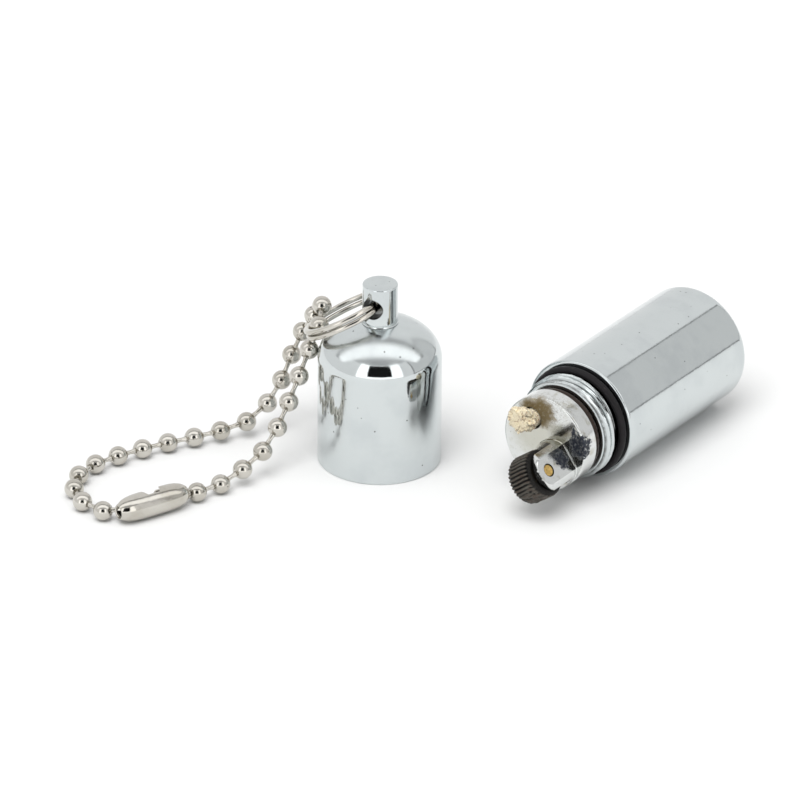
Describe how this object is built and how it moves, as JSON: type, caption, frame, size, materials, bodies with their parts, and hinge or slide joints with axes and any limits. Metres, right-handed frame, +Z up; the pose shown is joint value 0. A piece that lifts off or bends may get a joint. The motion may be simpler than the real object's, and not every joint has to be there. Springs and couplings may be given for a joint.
{
  "type": "capsule fuel lighter",
  "caption": "Opened pocket fuel lighter: threaded chrome tank with a flint wheel and wick insert, and its domed screw cap with a ring stud, split ring and ball chain.",
  "frame": {"origin": "centre of the base of the bounding box, on the surface that the opened lighter rests on", "axes": "+Z is up; the tank lies along Y with its mouth and flint wheel towards -Y; the cap stands on its mouth on the -X side of the tank with its ring and ball chain towards -X and -Y"},
  "size_m": [0.0556, 0.0694, 0.0234],
  "materials": {
    "chrome": "polished, lightly worn",
    "insert_chrome": "satin, soot stained",
    "nickel_plate": "polished, slightly warm",
    "wheel_steel": "dark, knurled, sooty",
    "spring_steel": "drawn wire",
    "brass": "bare, slightly tarnished",
    "rubber": "smooth black",
    "cotton": "bundled cotton, scorched tips",
    "flint_alloy": "dull grey"
  },
  "bodies": {
    "tank": {"fuel_tank": "chrome", "cap_seal_ring": "rubber", "fuel_wadding": "cotton"},
    "insert": {"insert_head": "insert_chrome", "insert_seal_ring": "rubber", "wheel_rivet": "brass", "wick": "cotton"},
    "wheel": {"flint_wheel": "wheel_steel"},
    "flint": {"flint": "flint_alloy"},
    "spring": {"flint_spring": "spring_steel"},
    "screw": {"flint_screw": "brass"},
    "cap": {"cap_shell": "chrome", "ring_stud": "chrome"},
    "ring": {"split_ring": "nickel_plate", "chain_bead_01": "nickel_plate", "chain_bead_02": "nickel_plate", "chain_bead_19": "nickel_plate", "chain_bead_20": "nickel_plate"},
    "chain_upper": {"chain_bead_03": "nickel_plate", "chain_bead_04": "nickel_plate", "chain_bead_05": "nickel_plate", "chain_bead_06": "nickel_plate", "chain_bead_07": "nickel_plate", "chain_bead_21": "nickel_plate", "chain_bead_22": "nickel_plate", "chain_bead_23": "nickel_plate", "chain_bead_24": "nickel_plate", "chain_bead_25": "nickel_plate"},
    "chain_lower": {"chain_bead_08": "nickel_plate", "chain_bead_09": "nickel_plate", "chain_bead_10": "nickel_plate", "chain_bead_11": "nickel_plate", "chain_bead_12": "nickel_plate", "chain_bead_26": "nickel_plate", "chain_bead_27": "nickel_plate"},
    "chain_end": {"chain_bead_13": "nickel_plate", "chain_bead_14": "nickel_plate", "chain_bead_15": "nickel_plate", "chain_bead_16": "nickel_plate", "chain_bead_17": "nickel_plate", "chain_bead_18": "nickel_plate", "chain_bead_28": "nickel_plate", "chain_clasp": "nickel_plate"}
  },
  "joints": [
    {"name": "insert_pull", "type": "slide", "parent": "tank", "child": "insert", "axis": [0, -1, 0], "range_m": [0, 0.022]},
    {"name": "wheel_spin", "type": "hinge", "parent": "insert", "child": "wheel", "pos_m": [0.02199, -0.00215, 0.00524], "axis": [0.7986, 0, 0.6018], "continuous": true},
    {"name": "flint_feed", "type": "slide", "parent": "insert", "child": "flint", "axis": [0, 1, 0], "range_m": [0, 0.0015], "stiffness_N_per_m": 50, "springref_m": -0.012, "deforming": ["flint_spring"]},
    {"name": "screw_travel", "type": "slide", "parent": "insert", "child": "spring", "axis": [0, 1, 0], "range_m": [0, 0.0028], "deforming": ["flint_spring"]},
    {"name": "screw_turn", "type": "hinge", "parent": "spring", "child": "screw", "pos_m": [0.02199, 0.02535, 0.00524], "axis": [0, 1, 0], "range_deg": [0, 2600]},
    {"name": "cap_lift", "type": "slide", "parent": "tank", "child": "cap", "axis": [0, 0, 1], "range_m": [0, 0.045]},
    {"name": "ring_swing", "type": "hinge", "parent": "cap", "child": "ring", "pos_m": [-0.0017, -0.00095, 0.02076], "axis": [-0.1305, 0.9914, 0], "range_deg": [0, 228]},
    {"name": "chain_swing", "type": "hinge", "parent": "ring", "child": "chain_upper", "pos_m": [-0.01262, 0.00056, 0.01516], "axis": [-0.4818, 0.8179, 0.3145], "range_deg": [0, 45]},
    {"name": "chain_fold", "type": "hinge", "parent": "chain_upper", "child": "chain_lower", "pos_m": [-0.0175, -0.00655, 0.0021], "axis": [-0.5663, 0.8242, -0.0065], "range_deg": [0, 60]},
    {"name": "chain_end_fold", "type": "hinge", "parent": "chain_lower", "child": "chain_end", "pos_m": [-0.02572, -0.02143, 0.0012], "axis": [-0.9914, 0.1306, -0.0001], "range_deg": [0, 60]}
  ],
  "couplings": [
    {"joint": "screw_turn", "follows": "screw_travel", "rad_per_m": 15708}
  ]
}
